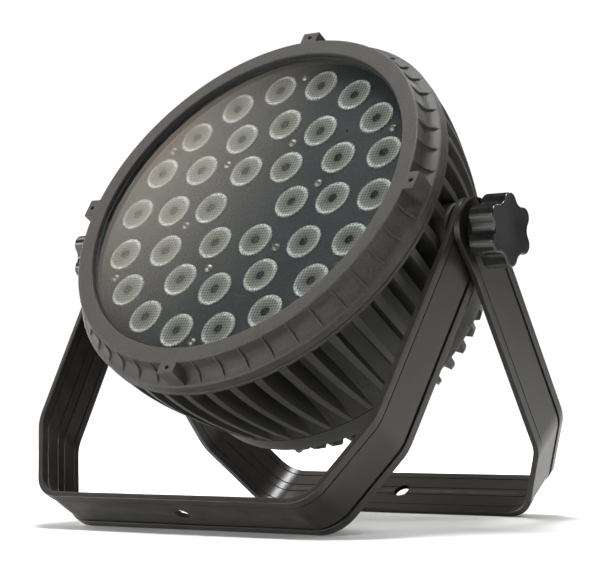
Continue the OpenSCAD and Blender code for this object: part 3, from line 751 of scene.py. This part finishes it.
def make_lenses(node, ring_r, count):
    """One ring of lenses, each point marked for the finish with its place across and round its own lens, which
    sets where the painted glints fall.
    """
    profile = lens_profile()
    verts, faces = [], []
    for k in range(count):
        start = len(verts)
        for r, z in profile:
            ring = circle(max(r, 0.01), z, LENS_SPOKES)
            verts.extend(turned((ring_r + x, y, height), 360 * k / count) for x, y, height in ring)
        faces.extend(grid_faces(len(profile), LENS_SPOKES, True, False, start))
        faces.append([start + j for j in range(LENS_SPOKES)])
        faces.append([start + (len(profile) - 1) * LENS_SPOKES + j for j in range(LENS_SPOKES)][::-1])
    mesh = piece(node + "_moulding", verts, faces, HEAD, "lens_acrylic", "head", [node], sharp=50).data
    inverse = HEAD.inverted()
    radii, glint_side_values = [], []
    for vertex in mesh.vertices:
        p = inverse @ vertex.co
        turn = round(math.degrees(math.atan2(p.y, p.x)) * count / 360) * 360 / count
        centre = Vector(turned((ring_r, 0, 0), turn))
        radii.append(min(1.0, math.hypot(p.x - centre.x, p.y - centre.y) / LENS_R))
        # Which way round its lens each point lies, for the painted glints.
        glint_side_values.append(abs(math.sin(math.atan2(p.y - centre.y, p.x - centre.x) + math.radians(PAINTED_GLINT_TURN))))
    mesh.attributes.new("lens_radius", "FLOAT", "POINT")
    mesh.attributes.new("painted_glint_side", "FLOAT", "POINT")
    mesh.attributes["lens_radius"].data.foreach_set("value", radii)
    mesh.attributes["painted_glint_side"].data.foreach_set("value", glint_side_values)


# ---- the CAD nodes that keep their mesh ----


def dress(node_name, finish):
    """Give a CAD node its finish and softened edges."""
    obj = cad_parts[node_name]
    obj.data.materials.clear()
    obj.data.materials.append(FINISHES[finish])
    if "custom_normal" in obj.data.attributes:
        obj.data.attributes.remove(obj.data.attributes["custom_normal"])
    obj.data.polygons.foreach_set("use_smooth", [True] * len(obj.data.polygons))
    weld = obj.modifiers.new("joined_faces", "WELD")
    weld.merge_threshold = WELD * MM
    edge = obj.modifiers.new("soft_edges", "BEVEL")
    edge.width = (THIN_EDGE_ROUND if finish == "plate_paint" else EDGE_ROUND) * MM
    edge.segments = 2
    edge.limit_method = "ANGLE"
    edge.angle_limit = math.radians(CREASE)
    edge.harden_normals = True


for finish_name, node_names in NODE_FINISH.items():
    for node_name in node_names:
        dress(node_name, finish_name)

make_bezel()
make_housing()
make_bracket("inner_bracket_strip", INNER_PATH, -INNER_ANGLE, "inner_bracket")
make_bracket("outer_bracket_strip", OUTER_PATH, OUTER_ANGLE, "outer_bracket")
make_knob("right", 1)
make_knob("left", -1)
for lens_node, (lens_ring_r, lens_count) in LENS_RINGS.items():
    make_lenses(lens_node, lens_ring_r, lens_count)

# ---- stage, light and camera ----


def make_floor():
    """A pale paper floor that glows from 0.9 m out, so that it runs into the room without a horizon."""
    mesh = bpy.data.meshes.new("studio_floor")
    corners = [(x * FLOOR_HALF, y * FLOOR_HALF, 0) for x, y in ((-1, -1), (1, -1), (1, 1), (-1, 1))]
    mesh.from_pydata(corners, [], [(0, 1, 2, 3)])
    material, tree = new_material("pale_paper")
    place = put(tree, "TexCoord").outputs["Object"]
    reach = put(tree, "VectorMath", {0: place}, operation="LENGTH").outputs["Value"]
    glow = put(tree, "MapRange", {"Value": reach, "From Min": 0.3, "From Max": 0.9, "To Max": 1.0})
    shade = put(tree, "BsdfPrincipled", {
        "Base Color": linear("f2f2f1"), "Roughness": 0.9, "Emission Color": linear("ffffff"),
        "Emission Strength": glow.outputs["Result"],
    })
    put(tree, "OutputMaterial", {"Surface": shade.outputs["BSDF"]})
    mesh.materials.append(material)
    floor = bpy.data.objects.new("studio_floor", mesh)
    bpy.context.scene.collection.objects.link(floor)


def softbox(name, direction, power, size=LAMP_SIZE, tint="ffffff"):
    """A lamp out in one direction, brightest in its middle and fading to nothing at its edge."""
    light = bpy.data.lights.new(name, "AREA")
    light.shape = "RECTANGLE"
    light.size, light.size_y = size
    light.energy = power
    light.use_nodes = True
    tree = light.node_tree
    tree.nodes.clear()
    spot = put(tree, "NewGeometry").outputs["Parametric"]
    off_middle = put(tree, "VectorMath", {0: spot, 1: (0.5, 0.5, 0.0)}, operation="DISTANCE").outputs["Value"]
    fade = put(tree, "MapRange", {
        "Value": off_middle, "From Min": 0.5, "From Max": 0.1, "To Min": 0.0, "To Max": 3.5,
    }, interpolation_type="SMOOTHSTEP")
    glow = put(tree, "Emission", {"Color": linear(tint), "Strength": fade.outputs["Result"]})
    put(tree, "OutputLight", {"Surface": glow.outputs["Emission"]})
    lamp = bpy.data.objects.new(name, light)
    bpy.context.scene.collection.objects.link(lamp)
    away = Vector(direction).normalized()
    lamp.location = LAMP_AIM + away * LAMP_AWAY
    lamp.rotation_mode = "QUATERNION"
    lamp.rotation_quaternion = away.to_track_quat("Z", "Y")


def make_world():
    """A room that is white to look at and gives hardly any light, so that the softboxes shape the object."""
    world = bpy.data.worlds.new("studio_room")
    bpy.context.scene.world = world
    world.use_nodes = True
    tree = world.node_tree
    tree.nodes.clear()
    room = put(tree, "Background", {"Color": linear("f4f5f6"), "Strength": 0.02}).outputs["Background"]
    paper = put(tree, "Background", {"Color": linear("ffffff"), "Strength": 1.05}).outputs["Background"]
    seen = put(tree, "LightPath").outputs["Is Camera Ray"]
    mixed = put(tree, "MixShader", {"Fac": seen, 1: room, 2: paper})
    put(tree, "OutputWorld", {"Surface": mixed.outputs["Shader"]})


def make_camera():
    """A long lens low in front and to the right, level with the light."""
    azimuth, elevation, roll = (math.radians(a) for a in (38.322, -2.855, -0.722))
    # In millimetres from the tilt axis: back along the view, across it and up it.
    distance, shift_right, shift_up = 1308.36, 8.10, -25.13
    back = Vector((math.sin(azimuth) * math.cos(elevation), -math.cos(azimuth) * math.cos(elevation),
                   math.sin(elevation)))
    level = Vector((math.cos(azimuth), math.sin(azimuth), 0))
    rise = back.cross(level)
    right = level * math.cos(roll) + rise * math.sin(roll)
    up = rise * math.cos(roll) - level * math.sin(roll)
    data = bpy.data.cameras.new("view")
    data.sensor_width = 36
    data.lens = 124.19
    data.clip_start, data.clip_end = 0.05, 50
    camera = bpy.data.objects.new("view", data)
    bpy.context.scene.collection.objects.link(camera)
    turn = Matrix((right, up, back)).transposed().to_4x4()
    place = (PIVOT + back * distance + level * shift_right + rise * shift_up) * MM
    camera.matrix_world = Matrix.Translation(place) @ turn
    bpy.context.scene.camera = camera


make_floor()
make_world()
# Each from the direction it stands in, with its power in watts.
softbox("top_softbox", (-0.05, 0.0, 1.0), 29)
softbox("front_softbox", (-0.2, -1.0, 0.17), 10.6)
softbox("left_softbox", (-1.0, 0.15, 0.2), 9.8)
softbox("left_low_softbox", (-0.80, -0.60, 0.17), 5.5)
softbox("left_high_softbox", (-0.78, -0.02, 0.62), 4.4, (1.2, 1.2), "fff0e0")
softbox("right_softbox", (0.7, -0.1, 0.7), 5.5)
softbox("rear_softbox", (0.0, 0.8, 0.7), 10)
softbox("right_rear_softbox", (0.75, 0.7, 0.17), 0.45)
make_camera()
bpy.context.scene.view_settings.view_transform = "Standard"
